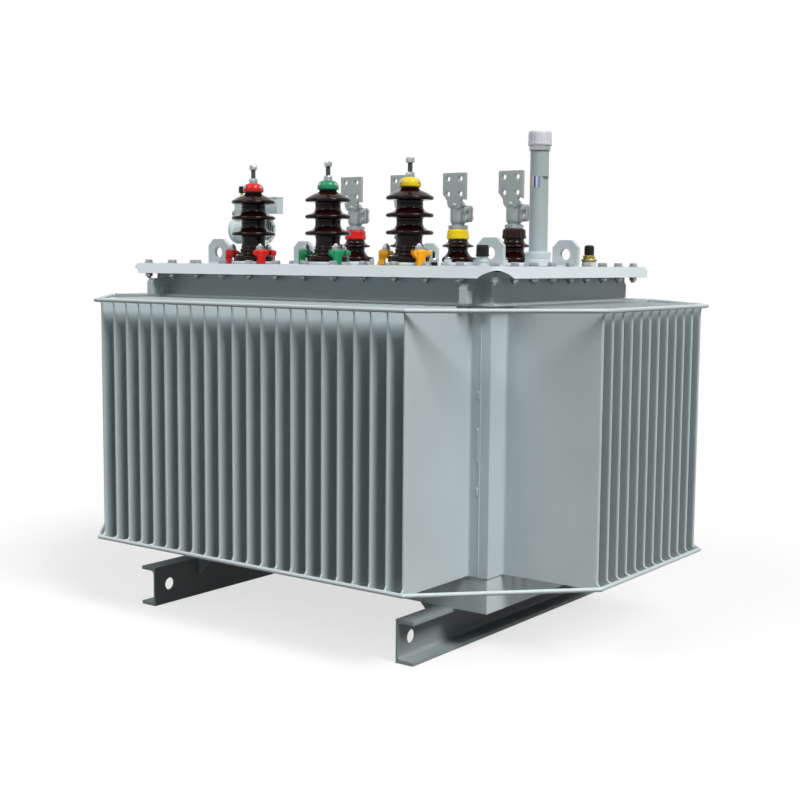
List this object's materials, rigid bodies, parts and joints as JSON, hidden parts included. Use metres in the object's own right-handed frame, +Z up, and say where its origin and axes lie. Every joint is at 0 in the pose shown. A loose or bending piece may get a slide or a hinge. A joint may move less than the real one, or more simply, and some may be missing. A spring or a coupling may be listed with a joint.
{
  "type": "oil-filled distribution transformer",
  "caption": "Oil-filled distribution transformer with corrugated cooling walls, channel skids, porcelain bushings, palm terminals and cover lifting eyes.",
  "frame": {"origin": "on the ground under the middle of the tank", "axes": "+Z up, +X along the tank's long side, the high-voltage row faces -Y"},
  "size_m": [1.576, 1.146, 1.204],
  "materials": {
    "tank_paint": "light grey-green enamel",
    "skid_paint": "darker grey enamel",
    "cover_paint": "light grey enamel",
    "gasket_rubber": "black oil-resistant rubber",
    "porcelain": "dark brown glaze",
    "cap_red": "red enamel",
    "cap_green": "green enamel",
    "cap_yellow": "yellow enamel",
    "clamp_yellow": "orange-yellow enamel",
    "collar_brown": "dark brown moulding",
    "tinned_metal": "dull tinned metal",
    "zinc_steel": "zinc-plated steel",
    "cap_white": "white moulded plastic",
    "knob_black": "black moulded plastic",
    "relay_glass": "dark green sight glass",
    "brass": "turned brass"
  },
  "bodies": {
    "root": {"bottom_tie_rods": "tank_paint", "corner_posts": "tank_paint", "corrugated_wall_back": "tank_paint", "corrugated_wall_front": "tank_paint", "corrugated_wall_left": "tank_paint", "corrugated_wall_right": "tank_paint", "cover": "cover_paint", "cover_centre_eye": "cover_paint", "cover_gasket": "gasket_rubber", "cover_lifting_eyes": "cover_paint", "cover_stud": "zinc_steel", "filling_knob": "knob_black", "gauge_base": "cover_paint", "gauge_cap": "cap_white", "gauge_tube": "tank_paint", "hv_bushings": "porcelain", "hv_cap_green": "cap_green", "hv_cap_red": "cap_red", "hv_cap_yellow": "cap_yellow", "hv_clamps_green": "cap_green", "hv_clamps_red": "cap_red", "hv_clamps_yellow": "clamp_yellow", "hv_seats": "gasket_rubber", "hv_terminal_studs": "zinc_steel", "lv_bushings": "porcelain", "lv_collar_green": "cap_green", "lv_collar_neutral": "collar_brown", "lv_collar_red": "cap_red", "lv_collar_yellow": "cap_yellow", "lv_seats": "tank_paint", "lv_terminals": "tinned_metal", "relay_body": "tank_paint", "relay_junction_box": "tank_paint", "relay_riser": "tank_paint", "relay_sight_glass": "relay_glass", "relay_test_cock": "brass", "skid_gussets": "skid_paint", "skid_left": "skid_paint", "skid_right": "skid_paint", "tank_hooks": "tank_paint", "tank_pan": "tank_paint", "tank_top_frame": "tank_paint", "thermometer_pocket": "brass", "top_tie_rods": "tank_paint", "wall_ledge": "tank_paint"}
  },
  "joints": []
}
